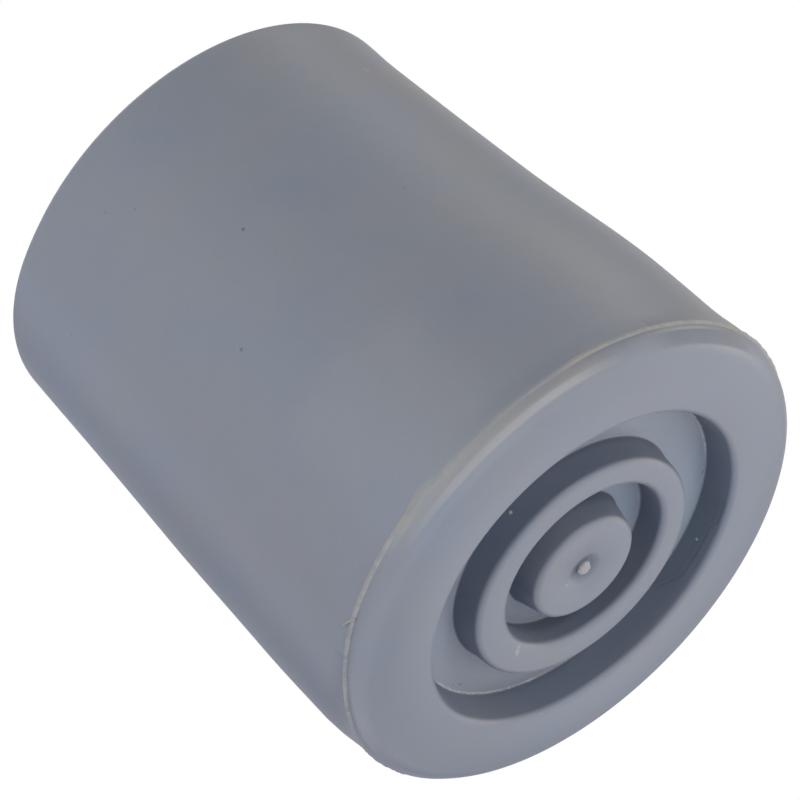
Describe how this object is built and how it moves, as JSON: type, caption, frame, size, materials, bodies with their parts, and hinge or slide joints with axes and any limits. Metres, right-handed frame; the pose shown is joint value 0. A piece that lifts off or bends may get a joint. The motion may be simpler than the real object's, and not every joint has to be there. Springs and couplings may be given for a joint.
{
  "type": "rubber cane tip",
  "caption": "Slightly tapered moulded rubber tip for a cane or crutch leg, with a blind round socket and a flat tread that holds a ring and a boss in a round recess.",
  "frame": {"origin": "centre of the tread, on the surface that the tip stands on", "axes": "+Z along the axis of the socket, out of its mouth; the part is round about it"},
  "size_m": [0.0342, 0.0342, 0.0375],
  "materials": {
    "rubber": "matt to satin moulded grey rubber"
  },
  "bodies": {
    "root": {"cane_tip": "rubber"}
  },
  "joints": []
}
